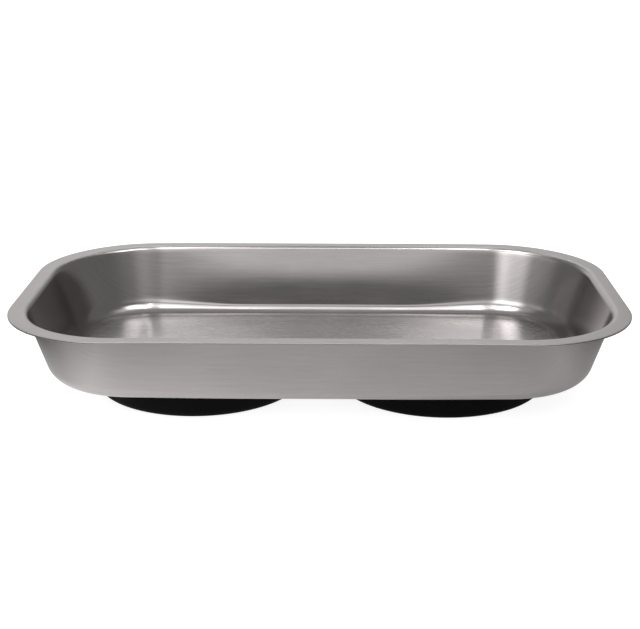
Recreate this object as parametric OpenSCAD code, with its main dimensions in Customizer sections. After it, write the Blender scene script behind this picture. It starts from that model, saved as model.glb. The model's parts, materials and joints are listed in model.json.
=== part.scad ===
// Magnetic parts tray: a pressed steel tray that stands on two round magnet bases.
// Units are millimetres. +X runs along the tray and +Z is up. The origin lies under
// the middle of the tray, on the surface that the two bases stand on.

/* [Tray] */
// Length of the tray over its rim
tray_l = 240; // [220:1:300]
// Width of the tray over its rim
tray_w = 140; // [130:1:180]
// Corner radius of the rim's outer edge
rim_corner_r = 44; // [38:1:55]
// Width of the rim at the two ends, from the wall line to the outer edge
end_rim_w = 6.4; // [5:0.1:14]
// Width of the rim along the two sides, from the wall line to the outer edge
side_rim_w = 6.6; // [5:0.1:14]
// How much smaller the corner radius is at the mouth than at the rim's outer edge
corner_inset = 3; // [1:0.5:8]
// Height of the tray from its underside to the top of its rim
pan_h = 28.5; // [24:0.5:40]
// Thickness of the steel sheet
sheet_t = 0.6; // [0.4:0.1:1]
// Lean of the walls away from upright, in degrees
wall_draft = 18; // [10:1:22]
// Bend radius on top of the sheet, where the rim turns down into the wall
lip_r = 2; // [1.5:0.1:4]
// Bend radius inside the tray, where the wall turns into the floor
floor_r = 9; // [5:0.5:11]

/* [Magnet] */
// Distance between the centres of the two magnet bases
base_pitch = 98.6; // [92:0.2:110]
// Outer diameter of the ring magnet
magnet_d = 78; // [60:1:84]
// Bore of the ring magnet
magnet_bore_d = 32; // [28:0.5:40]
// Thickness of the ring magnet
magnet_t = 6.5; // [5:0.5:10]
// Chamfer on the ring magnet's edges
magnet_chamfer = 0.5; // [0.2:0.1:1]
// Thickness of the two steel plates that hold the ring magnet
plate_t = 1; // [0.8:0.1:1.5]
// Hole in the upper pole plate, round the weld nut
pole_hole_d = 14; // [12:0.5:24]
// Lean of the dish's side away from upright, in degrees
dish_draft = 10; // [2:1:15]

/* [Boot] */
// Thickness of the rubber round the magnet, at the top of the boot
boot_wall = 4.8; // [3.5:0.1:8]
// Thickness of the rubber under the magnet
boot_floor_t = 2; // [1.5:0.1:4]
// Thickness of the boot's turned-in lip, between the magnet and the tray
boot_lip_t = 1; // [0.8:0.1:2]
// How far the boot's lip reaches in over the pole plate
boot_lip_w = 6; // [3:0.5:12]
// Opening in the boot's floor, under the dish
boot_hole_d = 27; // [22:0.5:28]
// Lean of the boot's side away from upright, in degrees
boot_draft = 8; // [0:1:15]
// Radius round the boot's bottom edge
boot_edge_r = 3; // [1:0.5:3.5]
// Radius round the edge of the boot's opening
boot_hole_edge_r = 0.8; // [0.3:0.1:1.2]

/* [Fasteners] */
// Nominal diameter of the screw
screw_d = 5; // [4:0.5:6]
// Diameter of the screw's pan head
head_d = 9.5; // [8:0.1:12]
// Height of the screw's pan head
head_h = 3.3; // [2.5:0.1:4]
// How far the screw's head stays above the surface that the tray stands on
head_recess = 0.5; // [0.2:0.1:1]
// Width across the points of the head's cross recess
cross_l = 5; // [3.5:0.1:6]
// Width of each slot of the cross recess
cross_w = 1.1; // [0.8:0.1:1.5]
// Depth of the cross recess
cross_depth = 2; // [1:0.1:2.4]
// Outer diameter of the flat washer
washer_d = 15; // [11:0.5:18]
// Thickness of the flat washer
washer_t = 1; // [0.8:0.1:1.5]
// Outer diameter of the split lock washer
lock_d = 9.2; // [8:0.1:11]
// Thickness of the split lock washer
lock_t = 1.2; // [0.8:0.1:1.6]
// Width of the gap in the split lock washer
lock_gap = 0.6; // [0.3:0.1:1.2]
// Slant of the gap in the split lock washer, in degrees
lock_slant = 25; // [0:5:35]
// Width across the flats of the hexagonal weld nut
nut_af = 8; // [7:0.5:10]
// Gap between the screw's tip and the tray
tip_gap = 1.2; // [0.6:0.1:1.6]
// Chamfer on the screw's tip
tip_chamfer = 0.5; // [0.2:0.1:0.8]

/* [Fits] */
// Gap round the magnet and the plates, inside the boot
boot_clear = 0.2; // [0.1:0.05:0.4]
// Gap between the dish and the ring magnet's bore
dish_clear = 0.3; // [0.1:0.05:0.6]
// Gap round the screw in the dish and the washers
screw_clear = 0.2; // [0.1:0.05:0.3]
// Gap between the plain-cylinder screw thread and nut thread
thread_clear = 0.05; // [0.03:0.01:0.1]

/* [Hidden] */
$fn = 96;

// Overrun of every cut past the face that it opens
cut = 1;
// Overlap of the tray's walls with its rim and its floor, inside the sheet
lap = 1;
// Steps along each rounded bend of an outline
arc_steps = 10;

// Heights of the stack, from the surface that the tray stands on
dish_flange_z = boot_floor_t;
magnet_z = dish_flange_z + plate_t;
pole_z = magnet_z + magnet_t;
boot_lip_z = pole_z + plate_t;
pan_z = boot_lip_z + boot_lip_t;
floor_z = pan_z + sheet_t;
rim_z = pan_z + pan_h;

// Heights of the fasteners, which hang from the dish's ceiling
lock_z = head_recess + head_h;
washer_z = lock_z + lock_t;
ceiling_z = washer_z + washer_t;
nut_z = ceiling_z + plate_t;
tip_z = pan_z - tip_gap;

// The mouth is where the wall's inner face would meet the top of the rim
mouth_l = tray_l - 2 * end_rim_w;
mouth_w = tray_w - 2 * side_rim_w;
mouth_r = rim_corner_r - corner_inset;
// Turn of the sheet at both bends, from level to the wall's lean
bend = 90 - wall_draft;
// Centre of the lip's bend, outwards from a corner's centre, and its height
lip_c = [mouth_r + lip_r * tan(bend / 2), rim_z - lip_r];
// Centre of the floor's bend, which touches the wall's inner face and the floor
floor_c_z = floor_z + floor_r;
floor_c = [mouth_r - (rim_z - floor_c_z) * tan(wall_draft) - floor_r / cos(wall_draft), floor_c_z];
// Straight lengths between the corners
straight_l = mouth_l - 2 * mouth_r;
straight_w = mouth_w - 2 * mouth_r;

// Radii inside one magnet base
magnet_r = magnet_d / 2;
boot_r = magnet_r + boot_clear + boot_wall;
dish_r = magnet_bore_d / 2 - dish_clear;
hole_r = screw_d / 2 + screw_clear;

// Points along an arc round centre c, from angle a to angle b
function arc(c, r, a, b) = [
    for (i = [0 : arc_steps]) let (t = a + (b - a) * i / arc_steps) c + r * [cos(t), sin(t)]
];

// Rectangle with rounded corners, about the origin
module rounded_rect(l, w, r) {
    square([l, w - 2 * r], center = true);
    square([l - 2 * r, w], center = true);
    for (x = [-1, 1], y = [-1, 1])
        translate([x * (l / 2 - r), y * (w / 2 - r)]) circle(r);
}

// Section of the sheet: a strip of the rim, the lip's bend, the wall, the floor's bend and a strip
// of the floor. The first axis runs outwards from a corner's centre and the second is height.
module wall_section() {
    polygon(concat(
        [[lip_c[0] + lap, rim_z]],
        arc(lip_c, lip_r, 90, 90 + bend),
        arc(floor_c, floor_r, -wall_draft, -90),
        [[floor_c[0] - lap, floor_z], [floor_c[0] - lap, pan_z]],
        arc(floor_c, floor_r + sheet_t, -90, -wall_draft),
        arc(lip_c, lip_r - sheet_t, 90 + bend, 90),
        [[lip_c[0] + lap, rim_z - sheet_t]]
    ));
}

// One straight stretch of wall of a given length, with its inner corner line on the Y axis
module straight_wall(length) {
    rotate([90, 0, 0]) linear_extrude(length, center = true) wall_section();
}

// The pressed steel tray, in one piece with its rim
module tray_pan() {
    rim_r = lip_c[0] + lap / 2;
    floor_edge_r = floor_c[0] - lap / 2;
    color([0.62, 0.61, 0.61]) union() {
        translate([0, 0, rim_z - sheet_t]) linear_extrude(sheet_t) difference() {
            rounded_rect(tray_l, tray_w, rim_corner_r);
            rounded_rect(straight_l + 2 * rim_r, straight_w + 2 * rim_r, rim_r);
        }
        for (k = [0 : 3]) {
            x = (k == 0 || k == 3) ? straight_l / 2 : -straight_l / 2;
            y = (k < 2) ? straight_w / 2 : -straight_w / 2;
            translate([x, y, 0]) rotate(90 * k) rotate_extrude(angle = 90) wall_section();
        }
        for (s = [0, 180]) {
            rotate(s) translate([straight_l / 2, 0, 0]) straight_wall(straight_w);
            rotate(s + 90) translate([straight_w / 2, 0, 0]) straight_wall(straight_l);
        }
        translate([0, 0, pan_z]) linear_extrude(sheet_t)
            rounded_rect(straight_l + 2 * floor_edge_r, straight_w + 2 * floor_edge_r, floor_edge_r);
    }
}

// Rubber boot: a cup round the magnet with a turned-in lip above and an opening below
module boot() {
    side_foot_r = boot_r - pan_z * tan(boot_draft);
    edge_c = [side_foot_r - boot_edge_r * tan((90 - boot_draft) / 2), boot_edge_r];
    hole_edge_c = [boot_hole_d / 2 + boot_hole_edge_r, boot_hole_edge_r];
    inner_r = magnet_r + boot_clear;
    lip_in_r = magnet_r - boot_lip_w;
    color([0.06, 0.06, 0.06]) rotate_extrude() polygon(concat(
        arc(edge_c, boot_edge_r, -90, -boot_draft),
        [
            [boot_r, pan_z], [lip_in_r, pan_z], [lip_in_r, boot_lip_z], [inner_r, boot_lip_z],
            [inner_r, boot_floor_t], [boot_hole_d / 2, boot_floor_t]
        ],
        arc(hole_edge_c, boot_hole_edge_r, 180, 270)
    ));
}

// Lower steel plate, dished up into the ring magnet's bore to seat the screw's head
module dish_plate() {
    dish_h = nut_z - magnet_z;
    top_r = dish_r - dish_h * tan(dish_draft);
    under_r = dish_r - plate_t / cos(dish_draft);
    ceiling_r = under_r - (ceiling_z - magnet_z) * tan(dish_draft);
    foot_r = under_r + plate_t * tan(dish_draft);
    color([0.66, 0.66, 0.64]) rotate_extrude() polygon([
        [magnet_r, dish_flange_z], [magnet_r, magnet_z], [dish_r, magnet_z], [top_r, nut_z],
        [hole_r, nut_z], [hole_r, ceiling_z], [ceiling_r, ceiling_z], [foot_r, dish_flange_z]
    ]);
}

// Ferrite ring magnet with chamfered edges
module ring_magnet() {
    bore_r = magnet_bore_d / 2;
    c = magnet_chamfer;
    color([0.2, 0.2, 0.21]) rotate_extrude() polygon([
        [bore_r + c, magnet_z], [magnet_r - c, magnet_z], [magnet_r, magnet_z + c],
        [magnet_r, pole_z - c], [magnet_r - c, pole_z], [bore_r + c, pole_z],
        [bore_r, pole_z - c], [bore_r, magnet_z + c]
    ]);
}

// Upper steel pole plate, a flat ring on top of the magnet
module pole_plate() {
    color([0.66, 0.66, 0.64]) translate([0, 0, pole_z]) linear_extrude(plate_t) difference() {
        circle(magnet_r);
        circle(pole_hole_d / 2);
    }
}

// Hexagonal nut that is welded under the tray's floor
module weld_nut() {
    color([0.7, 0.7, 0.68]) translate([0, 0, nut_z]) linear_extrude(pan_z - nut_z) difference() {
        circle(nut_af / 2 / cos(30), $fn = 6);
        circle(screw_d / 2 + thread_clear);
    }
}

// Flat washer between the lock washer and the dish's ceiling
module flat_washer() {
    color([0.75, 0.75, 0.73]) translate([0, 0, washer_z]) linear_extrude(washer_t) difference() {
        circle(washer_d / 2);
        circle(hole_r);
    }
}

// Split lock washer, pressed flat, with a slanted gap
module lock_washer() {
    color([0.6, 0.6, 0.58]) translate([0, 0, lock_z]) difference() {
        linear_extrude(lock_t) difference() {
            circle(lock_d / 2);
            circle(hole_r);
        }
        translate([lock_d / 2, 0, lock_t / 2]) rotate([lock_slant, 0, 0])
            cube([lock_d, lock_gap, 2 * (lock_t + cut)], center = true);
    }
}

// Pan-head screw with a cross recess, driven up through the dish into the weld nut
module screw() {
    head_r = head_d / 2;
    color([0.75, 0.75, 0.73]) difference() {
        rotate_extrude() polygon(concat(
            [[0, head_recess]],
            arc([head_r - head_h, lock_z], head_h, -90, 0),
            [
                [screw_d / 2, lock_z], [screw_d / 2, tip_z - tip_chamfer],
                [screw_d / 2 - tip_chamfer, tip_z], [0, tip_z]
            ]
        ));
        for (a = [0, 90]) rotate(a) translate([-cross_l / 2, -cross_w / 2, head_recess - cut])
            cube([cross_l, cross_w, cross_depth + cut]);
    }
}

// Places its children at the left base (side -1) or the right base (side 1)
module at_base(side) {
    translate([side * base_pitch / 2, 0, 0]) children();
}

tray_pan();
at_base(-1) boot();  // left_boot
at_base(-1) dish_plate();  // left_dish_plate
at_base(-1) ring_magnet();  // left_ring_magnet
at_base(-1) pole_plate();  // left_pole_plate
at_base(-1) weld_nut();  // left_weld_nut
at_base(-1) flat_washer();  // left_flat_washer
at_base(-1) lock_washer();  // left_lock_washer
at_base(-1) screw();  // left_screw
at_base(1) boot();  // right_boot
at_base(1) dish_plate();  // right_dish_plate
at_base(1) ring_magnet();  // right_ring_magnet
at_base(1) pole_plate();  // right_pole_plate
at_base(1) weld_nut();  // right_weld_nut
at_base(1) flat_washer();  // right_flat_washer
at_base(1) lock_washer();  // right_lock_washer
at_base(1) screw();  // right_screw
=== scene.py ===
"""Looks of a magnetic parts tray: a satin steel tray on two rubber-booted magnet bases."""

import json
import math

import bpy
import numpy as np
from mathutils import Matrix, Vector


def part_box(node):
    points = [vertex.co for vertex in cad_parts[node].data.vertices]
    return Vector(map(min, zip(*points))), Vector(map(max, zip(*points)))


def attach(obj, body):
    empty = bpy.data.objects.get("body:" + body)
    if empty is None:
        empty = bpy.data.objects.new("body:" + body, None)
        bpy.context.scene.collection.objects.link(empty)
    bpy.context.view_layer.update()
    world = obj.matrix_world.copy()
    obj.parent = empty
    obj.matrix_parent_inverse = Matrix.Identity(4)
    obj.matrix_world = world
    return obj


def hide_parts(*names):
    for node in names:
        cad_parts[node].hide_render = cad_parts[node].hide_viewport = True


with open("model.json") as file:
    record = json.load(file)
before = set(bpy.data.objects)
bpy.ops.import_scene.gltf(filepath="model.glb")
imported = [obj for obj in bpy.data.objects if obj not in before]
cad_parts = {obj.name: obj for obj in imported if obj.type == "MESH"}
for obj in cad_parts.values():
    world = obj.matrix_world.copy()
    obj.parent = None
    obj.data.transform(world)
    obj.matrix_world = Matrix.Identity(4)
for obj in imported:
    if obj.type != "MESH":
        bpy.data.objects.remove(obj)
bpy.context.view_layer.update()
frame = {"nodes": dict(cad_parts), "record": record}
nodes = frame["nodes"]

MM = 0.001

# Places taken from the frame
PAN_LOW, PAN_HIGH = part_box("tray_pan")
HALF_L = PAN_HIGH.x
HALF_W = PAN_HIGH.y
PAN_Z = PAN_LOW.z
RIM_Z = PAN_HIGH.z
SIDES = ("left", "right")
BASE_X = {side: (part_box(side + "_boot")[0].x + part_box(side + "_boot")[1].x) / 2 for side in SIDES}

# Sizes of the pressed sheet
SHEET_T = 0.6 * MM
RIM_CORNER_R = 44 * MM
END_RIM_W = 6.4 * MM
SIDE_RIM_W = 6.6 * MM
MOUTH_R = 41 * MM
LEAN = math.radians(18)
LIP_R = 3 * MM
FLOOR_R = 9.5 * MM
FOOT_R = 8.5 * MM
EDGE_R = 0.2 * MM
LEAST_SPREAD = 1e-6

# The long walls sprang a little after pressing: steeper at the foot, flatter at the top, with a lifted rim
LONG_LEAN_FOOT = math.radians(13.4)
LONG_LEAN_TOP = math.radians(24)
SPRING_FROM = 12 * MM
SPRING_TO = 80 * MM
LONG_LIFT = 0.35 * MM
END_DROP = 0.3 * MM
LIFT_FROM = 50 * MM
LIFT_TO = 118 * MM

# Their lip and foot are bent tighter than at the corners and ends
LONG_LIP_R = 2 * MM
LONG_FOOT_R = 2.5 * MM
TIGHT_FROM = 35 * MM
TIGHT_TO = 85 * MM

# Sizes of a magnet base
MAGNET_R = 39 * MM
BOOT_R = 44 * MM
BOOT_INNER_R = 39.2 * MM
BOOT_LIP_R = 33 * MM
BOOT_HOLE_R = 13.5 * MM
BOOT_FLOOR_T = 2 * MM
BOOT_LIP_T = 1 * MM
BOOT_LEAN = math.radians(8)
BOOT_EDGE_R = 3 * MM
BOOT_SOFT_R = 0.5 * MM
BOOT_LIP_SOFT_R = 0.2 * MM
BOOT_HOLE_SOFT_R = 0.8 * MM
BOOT_CRISP_R = 0.1 * MM
PLATE_T = 1 * MM
DISH_R = 15.7 * MM
DISH_LEAN = math.radians(10)
DISH_EDGE_R = 0.12 * MM
DISH_TOP_R = 1.3 * MM
DISH_FOOT_R = 0.3 * MM
DISH_UNDER_R = 1.2 * MM
DISH_CEILING_R = 0.4 * MM

# Sizes of the fasteners
SCREW_R = 2.5 * MM
SCREW_HOLE_R = 2.7 * MM
HEAD_R = 4.75 * MM
HEAD_H = 3.3 * MM
HEAD_LOW = 0.5 * MM
HEAD_EDGE = 0.1 * MM
TIP_GAP = 1.2 * MM
TIP_CHAMFER = 0.5 * MM
TIP_FLAT_R = 0.3 * MM
THREAD_PITCH = 0.8 * MM
THREAD_DEPTH = 0.42 * MM
THREAD_END = 0.3 * MM
CROSS_L = 5 * MM
CROSS_W = 1.1 * MM
CROSS_DEPTH = 2 * MM
CROSS_EDGE = 0.16 * MM
CROSS_SLOPE = 0.6
CROSS_HEAD_SHARE = 0.75
WASHER_R = 7.5 * MM
WASHER_T = 1 * MM
WASHER_EDGE_R = 0.2 * MM
WASHER_HOLE_EDGE_R = 0.1 * MM
LOCK_R = 4.6 * MM
LOCK_T = 1.2 * MM
LOCK_EDGE_R = 0.15 * MM
LOCK_GAP = 0.6 * MM
LOCK_SLANT = math.radians(25)

# Bends sharper than these show as edges
TURNED_CREASE = math.radians(40)
SCREW_CREASE = math.radians(45)
LOCK_CREASE = math.radians(50)

# Steps along the surfaces
CORNER_STEPS = 40
LONG_STEPS = 72
SHORT_STEPS = 28
TURN_STEPS = 160
FLOOR_RINGS = 14
BEND_STEPS = 18
WALL_STEPS = 16
RIM_STEPS = 6
EDGE_STEPS = 4
SOFT_STEPS = 5
BOOT_SOFT_STEPS = 8
LOCK_STEPS = 96
SCREW_TURN_STEPS = 120
SHANK_STEPS = 87
DOME_STEPS = 44
FACE_STEPS = 19


def arc(centre, radius, first, last, steps):
    """Points round a centre: centre plus radius times (cos, sin) of angles from first to last."""
    angle = np.linspace(first, last, steps + 1)
    return np.asarray(centre) + radius * np.stack([np.cos(angle), np.sin(angle)], axis=1)


def skin(name, grid, loop_rows=False, poles=()):
    """Mesh over a grid of points, rows by stops, whose stops close into rings.

    loop_rows closes the last row onto the first. Each pole is a (row, point) pair that a fan closes.
    """
    rows, stops = grid.shape[:2]
    place = np.arange(rows * stops).reshape(rows, stops)
    low = place if loop_rows else place[:-1]
    high = np.roll(place, -1, axis=0) if loop_rows else place[1:]
    quads = np.stack([low, high, np.roll(high, -1, axis=1), np.roll(low, -1, axis=1)], axis=-1)
    points = [grid.reshape(-1, 3)]
    faces = quads.reshape(-1, 4).tolist()
    for row, point in poles:
        ring = place[row] if row == 0 else place[row][::-1]
        tip = np.full(stops, rows * stops + len(points) - 1)
        faces += np.stack([tip, ring, np.roll(ring, -1)], axis=-1).tolist()
        points.append(np.asarray(point, float).reshape(1, 3))
    mesh = bpy.data.meshes.new(name)
    mesh.from_pydata(np.concatenate(points), [], faces)
    mesh.polygons.foreach_set("use_smooth", np.ones(len(mesh.polygons), bool))
    mesh.update()
    piece = bpy.data.objects.new(name, mesh)
    bpy.context.scene.collection.objects.link(piece)
    return piece


def rounded(corners, steps=SOFT_STEPS):
    """Closed outline round (x, y, radius) corners, each replaced by an arc that touches both its sides."""
    corners = np.asarray(corners, float)
    outline = []
    for k in range(len(corners)):
        here, radius = corners[k, :2], corners[k, 2]
        back = corners[k - 1, :2] - here
        ahead = corners[(k + 1) % len(corners), :2] - here
        back /= np.linalg.norm(back)
        ahead /= np.linalg.norm(ahead)
        half = math.acos(np.clip(back @ ahead, -1, 1)) / 2
        middle = (back + ahead) / np.linalg.norm(back + ahead)
        centre = here + middle * radius / math.sin(half)
        first = here + back * radius / math.tan(half) - centre
        last = here + ahead * radius / math.tan(half) - centre
        start = math.atan2(first[1], first[0])
        sweep = (math.atan2(last[1], last[0]) - start + math.pi) % (2 * math.pi) - math.pi
        outline.append(arc(centre, radius, start, start + sweep, steps))
    return np.concatenate(outline)


def turned(name, profile, centre_x):
    """Closed ring: each (radius, height) point of the profile goes round the upright line at centre_x."""
    angle = np.linspace(0, 2 * math.pi, TURN_STEPS, endpoint=False)
    radius, height = profile.T[:, :, None]
    grid = np.stack(np.broadcast_arrays(
        centre_x + radius * np.cos(angle), radius * np.sin(angle), height), axis=-1)
    piece = skin(name, grid, loop_rows=True)
    piece.data.set_sharp_from_angle(angle=TURNED_CREASE)
    return piece


# The tray

FLOOR_Z = PAN_Z + SHEET_T
CORNER_X = HALF_L - END_RIM_W - MOUTH_R
CORNER_Y = HALF_W - SIDE_RIM_W - MOUTH_R
LEVEL = math.pi / 2

# Columns of the sheet's rows, after the shrink to the middle and the share of the rim crossed
OUT, HEIGHT, TILT, ALONG, DULL = range(2, 7)

# How dull each part of the sheet is, from 0 for the long walls that the press drew smooth to 1 for the rim
DULL_FLOOR = 0.58
DULL_END = 0.28
DULL_OUTSIDE = 0.5


def eased(walk, first, last):
    """1 up to the first distance and 0 beyond the last, with a smooth cubic step between them."""
    share = np.clip((last - walk) / (last - first), 0, 1)
    return share ** 2 * (3 - 2 * share)


def rim_loop():
    """Stops round the tray, anticlockwise from its right end, as four corners and four straights.

    Returns the centre that each stop's section turns about, the rim's own centre there, the way outwards,
    and three shares that are 1 at the middle of a long wall and 0 at the ends: its spring, its tight foot
    and the lift of its rim.
    """
    centres, ways = [], []
    corners = np.array([[1, 1], [-1, 1], [-1, -1], [1, -1]]) * [CORNER_X, CORNER_Y]
    for k in range(4):
        turn = (k + np.linspace(0, 1, CORNER_STEPS, endpoint=False)) * LEVEL
        centres.append(np.repeat(corners[k:k + 1], CORNER_STEPS, axis=0))
        ways.append(np.stack([np.cos(turn), np.sin(turn)], axis=1))
        steps = SHORT_STEPS if k % 2 else LONG_STEPS
        share = np.linspace(0, 1, steps, endpoint=False)[:, None]
        centres.append(corners[k] + share * (corners[(k + 1) % 4] - corners[k]))
        ways.append(np.repeat([[math.cos((k + 1) * LEVEL), math.sin((k + 1) * LEVEL)]], steps, axis=0))
    centre, way = np.concatenate(centres), np.concatenate(ways)
    rim_scale = np.array([HALF_L - RIM_CORNER_R, HALF_W - RIM_CORNER_R]) / [CORNER_X, CORNER_Y]
    walk = np.abs(centre[:, 0]) + MOUTH_R * np.arccos(np.clip(np.abs(way[:, 1]), 0, 1))
    return (centre, centre * rim_scale, way, eased(walk, SPRING_FROM, SPRING_TO),
            eased(walk, TIGHT_FROM, TIGHT_TO), eased(walk, LIFT_FROM, LIFT_TO))


def sheet_top(spring, tight, raised):
    """The sheet's top face from the middle of the floor to the rim's edge, at every stop of the loop.

    The floor bends up to the wall's lean at its foot, with a radius that changes evenly with the turn. The
    lean then changes evenly to that at the top, so that the wall is a wide arc, and the lip is an arc back
    to level. Gives rows by stops of: shrink to the middle, share of the rim crossed, distance out, height,
    tilt of the face, distance along the sheet, and dullness.
    """
    foot = LEAN + spring * (LONG_LEAN_FOOT - LEAN)
    top = LEAN + spring * (LONG_LEAN_TOP - LEAN) + LEAST_SPREAD
    gap = top - foot
    lip_r = LIP_R + raised * (LONG_LIP_R - LIP_R)
    lip_x = MOUTH_R + lip_r * math.tan(math.pi / 4 - LEAN / 2)
    lip_z = RIM_Z - lip_r
    wall_dull = DULL_END * (1 - raised)
    turn = np.linspace(0, 1, BEND_STEPS + 1)[:, None] * (LEVEL - foot)
    change = (FOOT_R + tight * (LONG_FOOT_R - FOOT_R) - FLOOR_R) / (LEVEL - foot)
    bend_x = (FLOOR_R + change * turn) * np.sin(turn) + change * (np.cos(turn) - 1)
    bend_z = FLOOR_R * (1 - np.cos(turn)) + change * (np.sin(turn) - turn * np.cos(turn))
    foot_z = FLOOR_Z + bend_z[-1]
    wall_l = (lip_z + lip_r * np.sin(top) - foot_z) * gap / (np.sin(top) - np.sin(foot))
    foot_x = lip_x - lip_r * np.cos(top) - wall_l * (np.cos(foot) - np.cos(top)) / gap
    start = foot_x - bend_x[-1]

    def rows(*cells):
        """Rows with one cell for each column, spread over all stops."""
        shape = np.broadcast_shapes(*(np.shape(c) for c in cells), (1, len(spring)))
        return np.stack([np.broadcast_to(c, shape) for c in cells], axis=-1)

    s = np.linspace(0, 1, FLOOR_RINGS + 1)[1:-1, None]
    q = np.linspace(0, 1, BEND_STEPS + 1)[:, None]
    t = np.linspace(0, 1, WALL_STEPS + 1)[1:-1, None]
    f = np.linspace(0, 1, RIM_STEPS + 1)[1:, None]
    floor = rows(s, 0, start, FLOOR_Z, LEVEL, start, DULL_FLOOR)
    along = start + FLOOR_R * turn + change * turn ** 2 / 2
    bend = rows(1, 0, start + bend_x, FLOOR_Z + bend_z, LEVEL - turn, along,
                DULL_FLOOR * (1 - q) ** 2 + wall_dull * q)
    tilt = foot + t * gap
    wall_x = foot_x + wall_l * (np.cos(foot) - np.cos(tilt)) / gap
    wall_z = foot_z + wall_l * (np.sin(tilt) - np.sin(foot)) / gap
    wall = rows(1, 0, wall_x, wall_z, tilt, along[-1] + t * wall_l, wall_dull)
    tilt = top + q * (LEVEL - top)
    along = along[-1] + wall_l + lip_r * (tilt - top)
    lip = rows(1, 0, lip_x - lip_r * np.cos(tilt), lip_z + lip_r * np.sin(tilt), tilt, along,
               wall_dull + q * (1 - wall_dull))
    out = lip_x + f * (RIM_CORNER_R - EDGE_R - lip_x)
    rim = rows(1, f, out, RIM_Z, LEVEL, along[-1] + out - lip_x, 1)
    return np.concatenate([floor, bend, wall, lip, rim])


def sheet_edge(last):
    """Rows round the rim's outer edge: two quarter rounds of radius EDGE_R between the two faces."""
    upper = arc((RIM_CORNER_R - EDGE_R, RIM_Z - EDGE_R), EDGE_R, LEVEL, 0, EDGE_STEPS)
    lower = arc((RIM_CORNER_R - EDGE_R, RIM_Z - SHEET_T + EDGE_R), EDGE_R, 0, -LEVEL, EDGE_STEPS)
    line = np.concatenate([upper[1:], lower[:-1]])
    rows = np.repeat(last[None], len(line), axis=0)
    rows[..., OUT] = line[:, :1]
    rows[..., HEIGHT] = line[:, 1:]
    rows[..., ALONG] += line[:, :1] - last[0, OUT]
    return rows


def tray_shell():
    """The pressed tray: the sheet's section carried round the rim loop, and its underside one sheet below.

    A point is shrink times (section centre, moved by its share to the rim's centre, plus distance times the
    way out). Its height has the lift of the long sides and the drop of the ends, by the square of its rise.
    """
    centre, rim_centre, way, spring, tight, raised = rim_loop()
    top = sheet_top(spring, tight, raised)
    under = top.copy()
    under[..., OUT] += SHEET_T * np.cos(top[..., TILT])
    under[..., HEIGHT] -= SHEET_T * np.sin(top[..., TILT])
    under[..., DULL] = DULL_OUTSIDE
    rows = np.concatenate([top, sheet_edge(top[-1]), under[::-1]])
    shrink, rim, out, height, _, along, dull = np.moveaxis(rows, -1, 0)
    middle = centre + rim[..., None] * (rim_centre - centre)
    plan = shrink[..., None] * (middle + out[..., None] * way)
    rise = np.clip((height - FLOOR_Z) / (RIM_Z - FLOOR_Z), 0, 1)
    lift = (raised * (LONG_LIFT + END_DROP) - END_DROP) * rise ** 2
    grid = np.concatenate([plan, (height + lift)[..., None]], axis=2)
    poles = [(0, (0, 0, FLOOR_Z)), (len(rows) - 1, (0, 0, PAN_Z))]
    piece = skin("tray_shell", grid, poles=poles)
    sheet = (shrink[..., None] * (middle + along[..., None] * way)).reshape(-1, 2)
    keep_sheet_places(piece.data, np.concatenate([sheet, np.zeros((2, 2))]),
                      np.concatenate([dull.ravel(), [DULL_FLOOR, DULL_OUTSIDE]]))
    return piece


def keep_sheet_places(mesh, sheet, dull):
    """Stores where each point lay on the flat sheet, along and across its grain, and how dull it is."""
    corner = np.empty(len(mesh.loops), np.int32)
    mesh.loops.foreach_get("vertex_index", corner)
    layer = mesh.uv_layers.new(name="sheet")
    layer.data.foreach_set("uv", sheet[corner].astype(np.float32).ravel())
    mark = mesh.attributes.new("dull", "FLOAT", "POINT")
    mark.data.foreach_set("value", dull.astype(np.float32))


# The magnet bases

DISH_LOW = BOOT_FLOOR_T
DISH_FLANGE = DISH_LOW + PLATE_T
LOCK_LOW = HEAD_LOW + HEAD_H
WASHER_LOW = LOCK_LOW + LOCK_T
CEILING_LOW = WASHER_LOW + WASHER_T
CEILING_TOP = CEILING_LOW + PLATE_T
TIP_Z = PAN_Z - TIP_GAP


def boot_profile():
    """Section of a rubber boot, clockwise from the inner edge of its lip, with every corner softened."""
    foot_r = BOOT_R - PAN_Z * math.tan(BOOT_LEAN)
    lip_low = PAN_Z - BOOT_LIP_T
    return rounded([
        (BOOT_LIP_R, PAN_Z, BOOT_LIP_SOFT_R),
        (BOOT_R, PAN_Z, BOOT_SOFT_R),
        (foot_r, 0, BOOT_EDGE_R),
        (BOOT_HOLE_R, 0, BOOT_HOLE_SOFT_R),
        (BOOT_HOLE_R, BOOT_FLOOR_T, BOOT_SOFT_R),
        (BOOT_INNER_R, BOOT_FLOOR_T, BOOT_CRISP_R),
        (BOOT_INNER_R, lip_low, BOOT_CRISP_R),
        (BOOT_LIP_R, lip_low, BOOT_LIP_SOFT_R),
    ], steps=BOOT_SOFT_STEPS)


def dish_profile():
    """Section of the lower plate, clockwise from its hole: ceiling, sloped side and flange."""
    slope = math.tan(DISH_LEAN)
    under = DISH_R - PLATE_T / math.cos(DISH_LEAN)
    return rounded([
        (SCREW_HOLE_R, CEILING_TOP, DISH_EDGE_R),
        (DISH_R - (CEILING_TOP - DISH_FLANGE) * slope, CEILING_TOP, DISH_TOP_R),
        (DISH_R, DISH_FLANGE, DISH_FOOT_R),
        (MAGNET_R, DISH_FLANGE, DISH_EDGE_R),
        (MAGNET_R, DISH_LOW, DISH_EDGE_R),
        (under + PLATE_T * slope, DISH_LOW, DISH_UNDER_R),
        (under - (CEILING_LOW - DISH_FLANGE) * slope, CEILING_LOW, DISH_CEILING_R),
        (SCREW_HOLE_R, CEILING_LOW, DISH_EDGE_R),
    ])


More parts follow.
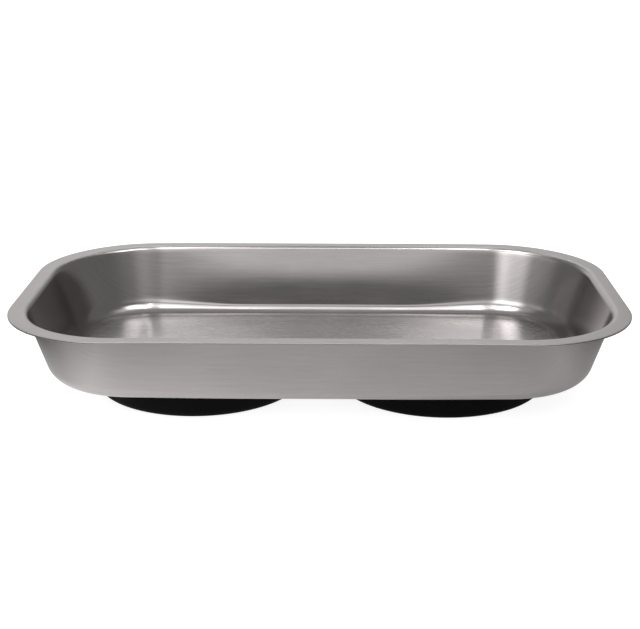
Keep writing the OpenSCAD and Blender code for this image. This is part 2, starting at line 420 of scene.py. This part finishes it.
def washer_profile():
    """Section of the flat washer, clockwise from its hole, with stamped edges."""
    return rounded([
        (SCREW_HOLE_R, CEILING_LOW, WASHER_HOLE_EDGE_R),
        (WASHER_R, CEILING_LOW, WASHER_EDGE_R),
        (WASHER_R, WASHER_LOW, WASHER_EDGE_R),
        (SCREW_HOLE_R, WASHER_LOW, WASHER_HOLE_EDGE_R),
    ])


def lock_washer(name, centre_x):
    """Split washer: a softened oblong section carried round from one side of a slanted gap to the other.

    The angle at each point is half the gap's angle at its radius, plus the slant for its height.
    """
    section = rounded([
        (SCREW_HOLE_R, LOCK_LOW, LOCK_EDGE_R),
        (LOCK_R, LOCK_LOW, LOCK_EDGE_R),
        (LOCK_R, WASHER_LOW, LOCK_EDGE_R),
        (SCREW_HOLE_R, WASHER_LOW, LOCK_EDGE_R),
    ])
    radius, height = section.T
    share = np.linspace(0, 1, LOCK_STEPS + 1)[:, None]
    lean = -(height - LOCK_LOW - LOCK_T / 2) * math.tan(LOCK_SLANT)
    first = (lean + LOCK_GAP / 2) / radius
    last = 2 * math.pi + (lean - LOCK_GAP / 2) / radius
    angle = first + share * (last - first)
    grid = np.stack(np.broadcast_arrays(
        centre_x + radius * np.cos(angle), radius * np.sin(angle), height), axis=-1)
    piece = skin(name, grid, poles=[(0, grid[0].mean(axis=0)), (len(grid) - 1, grid[-1].mean(axis=0))])
    piece.data.set_sharp_from_angle(angle=LOCK_CREASE)
    return piece


def screw(name, centre_x):
    """Pan-head screw, from its tip down: chamfer, thread, underside of the head, dome and cross recess.

    The thread cuts the radius by a triangle wave of (height / pitch - turn). The recess lifts the dome's
    face by its depth inside two crossed slots, less towards their ends.
    """
    turn = np.linspace(0, 1, SCREW_TURN_STEPS, endpoint=False)
    thread_top = TIP_Z - TIP_CHAMFER
    thread_low = LOCK_LOW + THREAD_END
    shank_z = np.linspace(thread_top, thread_low, SHANK_STEPS + 1)[:, None]
    wave = np.abs(2 * ((shank_z / THREAD_PITCH - turn) % 1) - 1)
    fade = np.clip((thread_top - shank_z) / THREAD_PITCH, 0, 1)
    fade = fade * np.clip((shank_z - thread_low) / THREAD_PITCH, 0, 1)
    shank_r = SCREW_R - THREAD_DEPTH * wave * fade
    tip = np.array([(TIP_FLAT_R, TIP_Z), (SCREW_R - TIP_CHAMFER, TIP_Z)])
    shoulder = [(SCREW_R, LOCK_LOW), (HEAD_R - HEAD_EDGE, LOCK_LOW)]
    dome = arc((HEAD_R - HEAD_H, LOCK_LOW), HEAD_H, 0, -LEVEL, DOME_STEPS)
    face_r = np.linspace(HEAD_R - HEAD_H, 0, FACE_STEPS + 1)[1:-1]
    face = np.stack([face_r, np.full_like(face_r, HEAD_LOW)], axis=1)
    head = np.concatenate([shoulder, dome, face])
    wide = np.ones_like(turn)
    radius = np.concatenate([tip[:, :1] * wide, shank_r, head[:, :1] * wide])
    height = np.concatenate([tip[:, 1:] * wide, shank_z * wide, head[:, 1:] * wide])
    across = radius * np.cos(2 * math.pi * turn)
    along = radius * np.sin(2 * math.pi * turn)
    x, y = np.abs(across), np.abs(along)
    slot_x = np.maximum(y - CROSS_W / 2, x - CROSS_L / 2)
    slot_y = np.maximum(x - CROSS_W / 2, y - CROSS_L / 2)
    sunk = np.clip(0.5 - np.minimum(slot_x, slot_y) / CROSS_EDGE, 0, 1)
    sunk = sunk * (height < HEAD_LOW + CROSS_HEAD_SHARE * HEAD_H)
    height = height + sunk * CROSS_DEPTH * (1 - CROSS_SLOPE * radius / CROSS_L)
    grid = np.stack([centre_x + across, along, height], axis=-1)
    poles = [(0, (centre_x, 0, TIP_Z)), (len(grid) - 1, (centre_x, 0, HEAD_LOW + CROSS_DEPTH))]
    piece = skin(name, grid, poles=poles)
    piece.data.set_sharp_from_angle(angle=SCREW_CREASE)
    return piece


# Materials

# Noises: scale, detail and roughness
GRAIN_STRETCH = (30, 900, 900)
FINE_GRAIN = (3.2, 2, 0.6)
COARSE_GRAIN = (0.8, 2, 0.5)
SMUDGES = (28, 3, 0.55)
FINE_SPECKS = (2200, 2, 0.6)
PATCHES = (60, 3, 0.55)

# A mask's useful range, and the share of the first of two masks that are mixed
MASK_LOW = 0.3
MASK_HIGH = 0.7
FIRST_SHARE = 0.6

# The tray's steel, with shares for its long walls, ends, outside, floor and rim, from the least dull on
STEEL_DARK = (0.355, 0.334, 0.331)
STEEL_PALE = (0.435, 0.410, 0.407)
FLOOR_TINT = (-0.016, 0, 0)
GRAIN_ROUGH = (0.09, 0.12)
SMUDGE_ROUGH = (0, 0.02)
DULL_ROUGH = 0.26
GRAIN_DEPTH = 0.06 * MM
GRAIN_TURN = 0.25
DRAWN_SHARES = (0.05, 0.2, 0.8, 0.75, 0.15)
GROUND_SHARES = (0.05, 0.2, 0.5, 0.02, 0.15)
FLOOR_SHARES = (0, 0, 0, 1, 0)

# The boots' rubber and the magnets' ferrite: two colours, roughness, and the bump's strength and depth
RUBBER_DARK = (0.0016, 0.0014, 0.0014)
RUBBER_PALE = (0.003, 0.0026, 0.0026)
RUBBER_ROUGH = (0.62, 0.76)
RUBBER_SHINE = 0.07
RUBBER_BUMP = (0.25, 0.03 * MM)
FERRITE_DARK = (0.035, 0.035, 0.037)
FERRITE_PALE = (0.06, 0.06, 0.062)
FERRITE_ROUGH = (0.5, 0.7)
FERRITE_BUMP = (0.3, 0.05 * MM)

# Plated steels: two colours and two roughnesses, and the bump that they share
PLATED = {
    "plated_steel": ((0.52, 0.53, 0.52), (0.60, 0.60, 0.57), 0.22, 0.38),
    "nut_steel": ((0.28, 0.27, 0.26), (0.36, 0.35, 0.34), 0.35, 0.55),
    "fastener_steel": ((0.56, 0.57, 0.58), (0.64, 0.64, 0.61), 0.18, 0.32),
    "spring_steel": ((0.40, 0.40, 0.39), (0.47, 0.46, 0.43), 0.28, 0.42),
}
PLATED_BUMP = (0.05, 0.02 * MM)


def value_noise(tree, vector, scale, detail, rough):
    """Noise texture on a vector, as its value socket."""
    noise = tree.nodes.new("ShaderNodeTexNoise")
    noise.inputs["Scale"].default_value = scale
    noise.inputs["Detail"].default_value = detail
    noise.inputs["Roughness"].default_value = rough
    tree.links.new(vector, noise.inputs["Vector"])
    return noise.outputs["Fac"]


def sum_of(tree, terms):
    """Sum of socket times weight over all terms, as a value socket."""
    total = None
    for socket, weight in terms:
        node = tree.nodes.new("ShaderNodeMath")
        node.operation = "MULTIPLY_ADD"
        tree.links.new(socket, node.inputs[0])
        node.inputs[1].default_value = weight
        node.inputs[2].default_value = 0
        if total:
            tree.links.new(total, node.inputs[2])
        total = node.outputs[0]
    return total


def grain_group():
    """Brushed grain: noise drawn out along the grain at two widths, and broad soft smudges."""
    group = bpy.data.node_groups.new("brushed_grain", "ShaderNodeTree")
    face = group.interface
    face.new_socket("Place", in_out="INPUT", socket_type="NodeSocketVector")
    face.new_socket("Grain", in_out="OUTPUT", socket_type="NodeSocketFloat")
    face.new_socket("Smudge", in_out="OUTPUT", socket_type="NodeSocketFloat")
    come = group.nodes.new("NodeGroupInput")
    leave = group.nodes.new("NodeGroupOutput")
    drawn = group.nodes.new("ShaderNodeMapping")
    drawn.inputs["Scale"].default_value = GRAIN_STRETCH
    group.links.new(come.outputs["Place"], drawn.inputs["Vector"])
    fine = value_noise(group, drawn.outputs["Vector"], *FINE_GRAIN)
    coarse = value_noise(group, drawn.outputs["Vector"], *COARSE_GRAIN)
    grain = sum_of(group, [(fine, FIRST_SHARE), (coarse, 1 - FIRST_SHARE)])
    smudge = value_noise(group, come.outputs["Place"], *SMUDGES)
    group.links.new(grain, leave.inputs["Grain"])
    group.links.new(smudge, leave.inputs["Smudge"])
    return group


def speck_group():
    """Fine specks and broad patches, for moulded, sintered and plated surfaces."""
    group = bpy.data.node_groups.new("fine_specks", "ShaderNodeTree")
    face = group.interface
    face.new_socket("Place", in_out="INPUT", socket_type="NodeSocketVector")
    face.new_socket("Speck", in_out="OUTPUT", socket_type="NodeSocketFloat")
    face.new_socket("Patch", in_out="OUTPUT", socket_type="NodeSocketFloat")
    come = group.nodes.new("NodeGroupInput")
    leave = group.nodes.new("NodeGroupOutput")
    speck = value_noise(group, come.outputs["Place"], *FINE_SPECKS)
    patch = value_noise(group, come.outputs["Place"], *PATCHES)
    group.links.new(speck, leave.inputs["Speck"])
    group.links.new(patch, leave.inputs["Patch"])
    return group


GRAIN = grain_group()
SPECKS = speck_group()


def new_material(name):
    """New material, with its node tree and its Principled shader."""
    material = bpy.data.materials.new(name)
    material.use_nodes = True
    return material, material.node_tree, material.node_tree.nodes["Principled BSDF"]


def place_group(tree, group, place):
    """Group node that reads a place socket."""
    node = tree.nodes.new("ShaderNodeGroup")
    node.node_tree = group
    tree.links.new(place, node.inputs["Place"])
    return node


def colour_between(tree, mask, low, high):
    """Colour that runs from low to high over the mask's useful range."""
    ramp = tree.nodes.new("ShaderNodeValToRGB")
    first, last = ramp.color_ramp.elements
    first.position = MASK_LOW
    first.color = (*low, 1)
    last.position = MASK_HIGH
    last.color = (*high, 1)
    tree.links.new(mask, ramp.inputs["Fac"])
    return ramp.outputs["Color"]


def range_between(tree, mask, low, high):
    """Value that runs from low to high over the mask's useful range."""
    node = tree.nodes.new("ShaderNodeMapRange")
    node.inputs["From Min"].default_value = MASK_LOW
    node.inputs["From Max"].default_value = MASK_HIGH
    node.inputs["To Min"].default_value = low
    node.inputs["To Max"].default_value = high
    tree.links.new(mask, node.inputs["Value"])
    return node.outputs["Result"]


def bumped(tree, shader, height, strength, distance):
    """Bump of a height socket into the shader's normal, with a number or a socket for its strength."""
    bump = tree.nodes.new("ShaderNodeBump")
    if isinstance(strength, (int, float)):
        bump.inputs["Strength"].default_value = strength
    else:
        tree.links.new(strength, bump.inputs["Strength"])
    bump.inputs["Distance"].default_value = distance
    tree.links.new(height, bump.inputs["Height"])
    tree.links.new(bump.outputs["Normal"], shader.inputs["Normal"])


def by_dullness(tree, dull, shares):
    """Share at each dullness, running evenly between the five shares of the tray's parts."""
    ramp = tree.nodes.new("ShaderNodeValToRGB")
    stops = ramp.color_ramp.elements
    for place in (DULL_END, DULL_OUTSIDE, DULL_FLOOR):
        stops.new(place)
    for stop, share in zip(stops, shares):
        stop.color = (share, share, share, 1)
    tree.links.new(dull, ramp.inputs["Fac"])
    return ramp.outputs["Color"]


def tray_steel():
    """Satin steel sheet: grain along its length, soft smudges, and a duller floor, outside and rim."""
    material, tree, shader = new_material("tray_steel")
    uv = tree.nodes.new("ShaderNodeUVMap")
    uv.uv_map = "sheet"
    grain = place_group(tree, GRAIN, uv.outputs["UV"])
    dull = tree.nodes.new("ShaderNodeAttribute")
    dull.attribute_name = "dull"
    masks = [(grain.outputs["Grain"], FIRST_SHARE), (grain.outputs["Smudge"], 1 - FIRST_SHARE)]
    colour = colour_between(tree, sum_of(tree, masks), STEEL_DARK, STEEL_PALE)
    tinted = tree.nodes.new("ShaderNodeVectorMath")
    tinted.operation = "MULTIPLY_ADD"
    tree.links.new(by_dullness(tree, dull.outputs["Fac"], FLOOR_SHARES), tinted.inputs[0])
    tinted.inputs[1].default_value = FLOOR_TINT
    tree.links.new(colour, tinted.inputs[2])
    tree.links.new(tinted.outputs["Vector"], shader.inputs["Base Color"])
    rough = sum_of(tree, [
        (range_between(tree, grain.outputs["Grain"], *GRAIN_ROUGH), 1),
        (range_between(tree, grain.outputs["Smudge"], *SMUDGE_ROUGH), 1),
        (dull.outputs["Fac"], DULL_ROUGH),
    ])
    tree.links.new(rough, shader.inputs["Roughness"])
    drawn = by_dullness(tree, dull.outputs["Fac"], DRAWN_SHARES)
    tree.links.new(drawn, shader.inputs["Anisotropic"])
    shader.inputs["Metallic"].default_value = 1
    shader.inputs["Anisotropic Rotation"].default_value = GRAIN_TURN
    tangent = tree.nodes.new("ShaderNodeTangent")
    tangent.direction_type = "UV_MAP"
    tangent.uv_map = "sheet"
    tree.links.new(tangent.outputs["Tangent"], shader.inputs["Tangent"])
    ground = by_dullness(tree, dull.outputs["Fac"], GROUND_SHARES)
    bumped(tree, shader, grain.outputs["Grain"], ground, GRAIN_DEPTH)
    return material


def object_place(tree):
    """Socket of the piece's own coordinates."""
    return tree.nodes.new("ShaderNodeTexCoord").outputs["Object"]


def boot_rubber():
    """Black moulded rubber with a fine matt grain."""
    material, tree, shader = new_material("boot_rubber")
    specks = place_group(tree, SPECKS, object_place(tree))
    colour = colour_between(tree, specks.outputs["Patch"], RUBBER_DARK, RUBBER_PALE)
    tree.links.new(colour, shader.inputs["Base Color"])
    rough = range_between(tree, specks.outputs["Patch"], *RUBBER_ROUGH)
    tree.links.new(rough, shader.inputs["Roughness"])
    shader.inputs["Specular IOR Level"].default_value = RUBBER_SHINE
    bumped(tree, shader, specks.outputs["Speck"], *RUBBER_BUMP)
    return material


def plated_metal(name, low, high, smooth, dull):
    """Plated steel: grain and patches in its roughness, and two close tints."""
    material, tree, shader = new_material(name)
    place = object_place(tree)
    grain = place_group(tree, GRAIN, place)
    specks = place_group(tree, SPECKS, place)
    colour = colour_between(tree, specks.outputs["Patch"], low, high)
    tree.links.new(colour, shader.inputs["Base Color"])
    rough = sum_of(tree, [
        (range_between(tree, grain.outputs["Grain"], smooth, dull), FIRST_SHARE),
        (range_between(tree, specks.outputs["Patch"], smooth, dull), 1 - FIRST_SHARE),
    ])
    tree.links.new(rough, shader.inputs["Roughness"])
    shader.inputs["Metallic"].default_value = 1
    bumped(tree, shader, specks.outputs["Speck"], *PLATED_BUMP)
    return material


def ferrite():
    """Dark grey sintered ferrite, dull and finely pitted."""
    material, tree, shader = new_material("ferrite")
    specks = place_group(tree, SPECKS, object_place(tree))
    colour = colour_between(tree, specks.outputs["Speck"], FERRITE_DARK, FERRITE_PALE)
    tree.links.new(colour, shader.inputs["Base Color"])
    rough = range_between(tree, specks.outputs["Patch"], *FERRITE_ROUGH)
    tree.links.new(rough, shader.inputs["Roughness"])
    bumped(tree, shader, specks.outputs["Speck"], *FERRITE_BUMP)
    return material


FINISHES = {"tray_steel": tray_steel(), "boot_rubber": boot_rubber(), "ferrite": ferrite()}
for finish, look in PLATED.items():
    FINISHES[finish] = plated_metal(finish, *look)


def dress(piece, slot, *replaced):
    """Gives a piece its finish, its body and its record slot, and hides the nodes that it stands for."""
    piece.data.materials.clear()
    piece.data.materials.append(FINISHES[slot])
    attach(piece, "root")
    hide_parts(*replaced)


dress(tray_shell(), "tray_steel", "tray_pan")
for side in SIDES:
    x = BASE_X[side]
    dress(turned(side + "_boot_skin", boot_profile(), x), "boot_rubber", side + "_boot")
    dress(turned(side + "_dish_skin", dish_profile(), x), "plated_steel", side + "_dish_plate")
    dress(turned(side + "_washer_skin", washer_profile(), x), "fastener_steel", side + "_flat_washer")
    dress(lock_washer(side + "_lock_skin", x), "spring_steel", side + "_lock_washer")
    dress(screw(side + "_screw_skin", x), "fastener_steel", side + "_screw")

for subpart in frame["record"]["subparts"]:
    materials = nodes[subpart["node"]].data.materials
    materials.clear()
    materials.append(FINISHES[subpart["material_slot"]])


# Floor, light and camera

# The floor's size; its glow in the steel, a painted pool of light by the tray, with the reaches that it
# fades over; the reach past the tray's ends where its colour in the steel is darkened as painted shade; and
# its own look
FLOOR_SIZE = 8.0
FLOOR_POOL_GLOW = 0.9
FLOOR_POOL_FRONT = (58 * MM, 96 * MM)
FLOOR_POOL_RIGHT = (-90 * MM, 170 * MM)
FLOOR_MIDDLE = 10 * MM
FLOOR_SHADE_BEYOND = (110 * MM, 165 * MM)
FLOOR_FADED = 0.1
FLOOR_WHITE = 0.88
FLOOR_GREY = 0.47
FLOOR_ROUGH = 0.9


def math_node(tree, operation, first, second=None):
    """Math node on sockets or numbers, as its value socket."""
    node = tree.nodes.new("ShaderNodeMath")
    node.operation = operation
    for slot, item in enumerate((first, second)):
        if isinstance(item, (int, float)):
            node.inputs[slot].default_value = item
        elif item is not None:
            tree.links.new(item, node.inputs[slot])
    return node.outputs[0]


def painted_falloff(tree, value, reach):
    """Value that falls from 1 to FLOOR_FADED as another goes from the first to the last of its reach, for
    the floor's painted falloff of light and shade in the steel.
    """
    node = tree.nodes.new("ShaderNodeMapRange")
    node.inputs["From Min"].default_value, node.inputs["From Max"].default_value = reach
    node.inputs["To Min"].default_value = 1
    node.inputs["To Max"].default_value = FLOOR_FADED
    tree.links.new(value, node.inputs["Value"])
    return node.outputs["Result"]


def studio_floor():
    """Plain pale floor, which glows so that it stays even to the horizon, and more so for the camera.

    In the steel its glow is a painted pool of light that fades with the distance in front of the tray, to
    its right and past its two ends. Past the ends its colour is also darkened, as painted shade that only
    the steel sees.
    """
    half = FLOOR_SIZE / 2
    corners = np.array([[-1, -1, 0], [1, -1, 0], [1, 1, 0], [-1, 1, 0]]) * half
    mesh = bpy.data.meshes.new("studio_floor")
    mesh.from_pydata(corners, [], [(0, 1, 2, 3)])
    floor = bpy.data.objects.new("studio_floor", mesh)
    bpy.context.scene.collection.objects.link(floor)
    material, tree, shader = new_material("studio_floor")
    shader.inputs["Roughness"].default_value = FLOOR_ROUGH
    shader.inputs["Specular IOR Level"].default_value = 0
    shader.inputs["Emission Color"].default_value = (1, 1, 1, 1)
    seen = tree.nodes.new("ShaderNodeLightPath").outputs["Is Camera Ray"]
    apart = tree.nodes.new("ShaderNodeSeparateXYZ")
    tree.links.new(object_place(tree), apart.inputs["Vector"])
    front = painted_falloff(tree, math_node(tree, "MULTIPLY", apart.outputs["Y"], -1), FLOOR_POOL_FRONT)
    right = painted_falloff(tree, apart.outputs["X"], FLOOR_POOL_RIGHT)
    off_middle = math_node(tree, "SUBTRACT", apart.outputs["X"], FLOOR_MIDDLE)
    # Painted shade: past the tray's ends the floor's glow and its colour are darkened in the steel, while
    # the camera sees the full colour
    painted_end_shade = painted_falloff(tree, math_node(tree, "ABSOLUTE", off_middle), FLOOR_SHADE_BEYOND)
    pale = math_node(tree, "MULTIPLY", math_node(tree, "MAXIMUM", seen, painted_end_shade), FLOOR_GREY)
    tree.links.new(pale, shader.inputs["Base Color"])
    # Painted pool of light: the floor's glow in the steel is brightest by the tray and fades in front of
    # it, to its right and past its ends
    painted_pool = math_node(tree, "MULTIPLY", math_node(tree, "MULTIPLY", front, right), painted_end_shade)
    painted_pool_glow = math_node(tree, "MULTIPLY", painted_pool, FLOOR_POOL_GLOW)
    glow = math_node(tree, "MAXIMUM", math_node(tree, "MULTIPLY", seen, FLOOR_WHITE), painted_pool_glow)
    tree.links.new(glow, shader.inputs["Emission Strength"])
    mesh.materials.append(material)


def soft_box(tree, place, azimuth, elevation, aside, width, height, glow):
    """Soft-edged light box far off in the room, as the brightness that it adds in each direction.

    Azimuth 0 is the camera's side, and positive is to its right. Across and up are the direction's parts
    along the box's own axes, with the box moved aside along the first. Width and height are each a half
    size and the softness of its edge, in degrees. The brightness is glow times a smooth step down at each
    half size, on the half of the room that the box is in.
    """
    a, e = math.radians(azimuth), math.radians(elevation)
    out = Vector((math.sin(a) * math.cos(e), -math.cos(a) * math.cos(e), math.sin(e)))
    right = Vector((math.cos(a), math.sin(a), 0))
    up = right.cross(-out)

    def part(axis):
        """The direction's part along an axis."""
        node = tree.nodes.new("ShaderNodeVectorMath")
        node.operation = "DOT_PRODUCT"
        tree.links.new(place, node.inputs[0])
        node.inputs[1].default_value = axis
        return node.outputs["Value"]

    def step_down(value, half, soft):
        """1 inside the half size and 0 outside it, with a soft edge."""
        node = tree.nodes.new("ShaderNodeMapRange")
        node.interpolation_type = "SMOOTHSTEP"
        node.inputs["From Min"].default_value = math.sin(math.radians(half + soft))
        node.inputs["From Max"].default_value = math.sin(math.radians(half - soft))
        tree.links.new(math_node(tree, "ABSOLUTE", value), node.inputs["Value"])
        return node.outputs["Result"]

    across = step_down(math_node(tree, "SUBTRACT", part(right), math.sin(math.radians(aside))), *width)
    inside = math_node(tree, "MULTIPLY", across, step_down(part(up), *height))
    ahead = math_node(tree, "GREATER_THAN", part(out), 0)
    return math_node(tree, "MULTIPLY", math_node(tree, "MULTIPLY", inside, ahead), glow)


# Light boxes: azimuth, elevation, move aside, half width and half height with their softness, and glow.
# The narrow ones are strips that stand as upright lines in the steel's corners.
ROOM_GREY = 0.24
LIGHT_BOXES = (
    (0, 33, 0, (20, 12), (11.8, 4.2), 0.78),
    (-34, 32, 0, (18, 8), (11, 9), 3.0),
    (-74, 24, 0, (16, 8), (9, 5), 0.45),
    (34, 30, 0, (14, 12), (10, 6), 0.22),
    (0, 64, 0, (12, 5), (14, 5), 0.95),
    (0, 82, 0, (12, 5), (8, 5), 0.6),
    (0, 80, 6, (1.4, 0.7), (6, 3), 4.0),
    (0, 72, -7.9, (1.6, 1.2), (15, 1.2), 1.6),
    (0, 66, 6.2, (1.2, 0.6), (13, 1), 4.8),
    (180, 46, 7.9, (2, 1.2), (14, 1.2), 3.6),
    (180, 46, -6, (1.3, 0.6), (14, 1), 5.0),
    (180, 78, 0, (25, 5), (9, 5), 0.25),
    (-170, 18, 0, (26, 12), (12, 8), 0.85),
    (-60, 50, 0, (20, 8), (14, 8), 0.4),
    (-29, 62, 0, (14, 6), (10, 4), 0.7),
    (60, 70, 0, (20, 8), (8, 5), 0.7),
    (48, 66, 0, (8, 5), (9, 6), 6.2),
    (-48, 66, 0, (8, 5), (9, 6), 10.0),
)


def studio_room():
    """Dim grey room with soft light boxes. The camera itself sees plain white beyond the floor."""
    world = bpy.data.worlds.new("studio_room")
    world.use_nodes = True
    tree = world.node_tree
    place = tree.nodes.new("ShaderNodeTexCoord").outputs["Generated"]
    bright = ROOM_GREY
    for box in LIGHT_BOXES:
        bright = math_node(tree, "ADD", soft_box(tree, place, *box), bright)
    seen = tree.nodes.new("ShaderNodeLightPath").outputs["Is Camera Ray"]
    strength = math_node(tree, "MAXIMUM", bright, seen)
    tree.links.new(strength, tree.nodes["Background"].inputs["Strength"])
    tree.nodes["Background"].inputs["Color"].default_value = (1, 1, 1, 1)
    bpy.context.scene.world = world


# The camera as it stood to the tray: turn to the right, height angle, distance and focal length in pixels
IMAGE_W = 640
CAMERA_TURN = math.radians(0.88)
CAMERA_RISE = math.radians(18.06)
CAMERA_AWAY = 533.55 * MM
CAMERA_AIM = Vector((0, 0, 26.54 * MM))
CAMERA_TILT_UP = math.radians(0.2136)
FOCAL_PX = 1302.6
SENSOR_MM = 36
NEAREST = 10 * MM


def photo_camera():
    """Camera at the photograph's place, aimed a little above the tray's middle."""
    data = bpy.data.cameras.new("photo_camera")
    data.sensor_width = SENSOR_MM
    data.lens = FOCAL_PX * SENSOR_MM / IMAGE_W
    data.clip_start = NEAREST
    camera = bpy.data.objects.new("photo_camera", data)
    flat = CAMERA_AWAY * math.cos(CAMERA_RISE)
    camera.location = CAMERA_AIM + Vector((
        flat * math.sin(CAMERA_TURN), -flat * math.cos(CAMERA_TURN), CAMERA_AWAY * math.sin(CAMERA_RISE)))
    camera.rotation_euler = (math.pi / 2 - CAMERA_RISE + CAMERA_TILT_UP, 0, CAMERA_TURN)
    bpy.context.scene.collection.objects.link(camera)
    bpy.context.scene.camera = camera


studio_floor()
studio_room()
photo_camera()
bpy.context.scene.view_settings.view_transform = "Standard"
